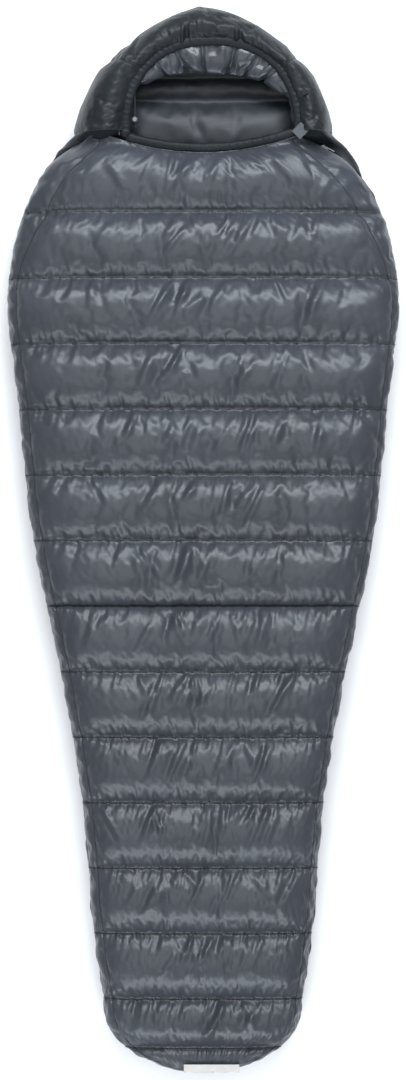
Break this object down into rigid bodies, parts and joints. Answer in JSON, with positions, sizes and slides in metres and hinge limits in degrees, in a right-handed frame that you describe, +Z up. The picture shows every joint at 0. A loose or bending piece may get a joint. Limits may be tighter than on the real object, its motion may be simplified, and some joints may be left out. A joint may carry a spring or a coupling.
{
  "type": "mummy sleeping bag",
  "caption": "Down-filled mummy sleeping bag with a hood around a face opening, quilted cross chambers, a side zip and a top quilt that folds open.",
  "frame": {"origin": "on the ground on the bag's centre line, under the middle of its length", "axes": "+Y to the head, +X to the zip side, +Z up out of the face opening"},
  "size_m": [0.754, 2.0504, 0.146],
  "materials": {
    "top_cloth": "thin downproof nylon with a soft sheen, slate grey",
    "bottom_cloth": "thin downproof nylon with a soft sheen, charcoal",
    "liner_cloth": "glossy thin taffeta, dark grey",
    "down": "loose down",
    "netting": "fine mesh netting",
    "binding": "gathered drawcord tunnel cloth, charcoal",
    "cord": "braided cord",
    "lock_plastic": "moulded acetal, fine texture",
    "spring_steel": "drawn wire",
    "button_metal": "polished cap",
    "zip_tape": "woven herringbone tape",
    "zip_coil": "polyester coil",
    "zip_metal": "dark nickel",
    "tab_cloth": "hook-and-loop tape",
    "webbing": "woven webbing",
    "label_cloth": "woven satin label"
  },
  "bodies": {
    "bag": {"bottom_shell": "bottom_cloth", "bottom_down_fill": "down", "bottom_baffles": "netting", "bottom_liner": "liner_cloth", "side_top_shell": "top_cloth", "side_top_down_fill": "down", "side_top_baffles": "netting", "side_top_liner": "liner_cloth", "hood_shell": "bottom_cloth", "hood_down_fill": "down", "hood_liner": "liner_cloth", "hood_lip_chambers": "liner_cloth", "hood_back_shell": "bottom_cloth", "hood_back_down_fill": "down", "hood_back_liner": "liner_cloth", "hood_rim_tunnel": "binding", "hood_drawcord": "cord", "zip_tape_bag": "zip_tape", "zip_teeth_bag": "zip_coil", "zip_top_stop": "zip_metal", "zip_retainer_box": "lock_plastic", "closure_patch": "tab_cloth", "foot_hang_loops": "webbing", "foot_label": "label_cloth", "rim_label": "label_cloth"},
    "flap": {"flap_top_shell": "top_cloth", "flap_top_down_fill": "down", "flap_top_baffles": "netting", "flap_top_liner": "liner_cloth", "neck_rim_tunnel": "binding", "draft_collar": "liner_cloth", "collar_drawcord": "cord", "draft_tube": "liner_cloth", "zip_tape_flap": "zip_tape", "zip_teeth_flap": "zip_coil", "zip_insertion_pin": "lock_plastic"},
    "upper_slider": {"upper_slider": "zip_metal"},
    "upper_pull": {"upper_slider_pull": "zip_metal"},
    "lower_slider": {"lower_slider": "zip_metal"},
    "lower_pull": {"lower_slider_pull": "zip_metal"},
    "closure_tab": {"closure_tab": "tab_cloth"},
    "hood_lock": {"hood_cord_lock": "lock_plastic", "hood_cord_lock_spring": "spring_steel"},
    "hood_button": {"hood_cord_lock_button": "button_metal"},
    "collar_lock": {"collar_cord_lock": "lock_plastic", "collar_cord_lock_spring": "spring_steel"},
    "collar_button": {"collar_cord_lock_button": "button_metal"}
  },
  "joints": [
    {"name": "flap_fold", "type": "hinge", "parent": "bag", "child": "flap", "pos_m": [-0.165, 0.745, 0.148], "axis": [0.2728, -0.9621, 0], "range_deg": [0, 150]},
    {"name": "upper_slider_travel", "type": "hinge", "parent": "bag", "child": "upper_slider", "pos_m": [0.126, 0.55, 0.062], "axis": [0, 0, -1], "range_deg": [0, 67]},
    {"name": "upper_pull_swing", "type": "hinge", "parent": "upper_slider", "child": "upper_pull", "pos_m": [0.23244, 0.76224, 0.062], "axis": [0, 0, 1], "range_deg": [0, 170]},
    {"name": "lower_slider_travel", "type": "slide", "parent": "bag", "child": "lower_slider", "axis": [0.1291, 0.9916, 0], "range_m": [0, 1.07]},
    {"name": "lower_pull_swing", "type": "hinge", "parent": "lower_slider", "child": "lower_pull", "pos_m": [0.21729, -0.58731, 0.062], "axis": [0, 0, -1], "range_deg": [0, 170]},
    {"name": "closure_tab_lift", "type": "hinge", "parent": "flap", "child": "closure_tab", "pos_m": [0.178, 0.774, 0.1351], "axis": [0.7071, -0.7071, 0], "range_deg": [0, 150]},
    {"name": "hood_lock_travel", "type": "slide", "parent": "bag", "child": "hood_lock", "axis": [0, 1, 0], "range_m": [0, 0.045]},
    {"name": "hood_button_press", "type": "slide", "parent": "hood_lock", "child": "hood_button", "axis": [0, 0, -1], "range_m": [0, 0.0035], "stiffness_N_per_m": 400, "deforming": ["hood_cord_lock_spring"]},
    {"name": "collar_lock_travel", "type": "slide", "parent": "flap", "child": "collar_lock", "axis": [0, -1, 0], "range_m": [0, 0.008]},
    {"name": "collar_button_press", "type": "slide", "parent": "collar_lock", "child": "collar_button", "axis": [0, 0, -1], "range_m": [0, 0.0035], "stiffness_N_per_m": 400, "deforming": ["collar_cord_lock_spring"]}
  ]
}
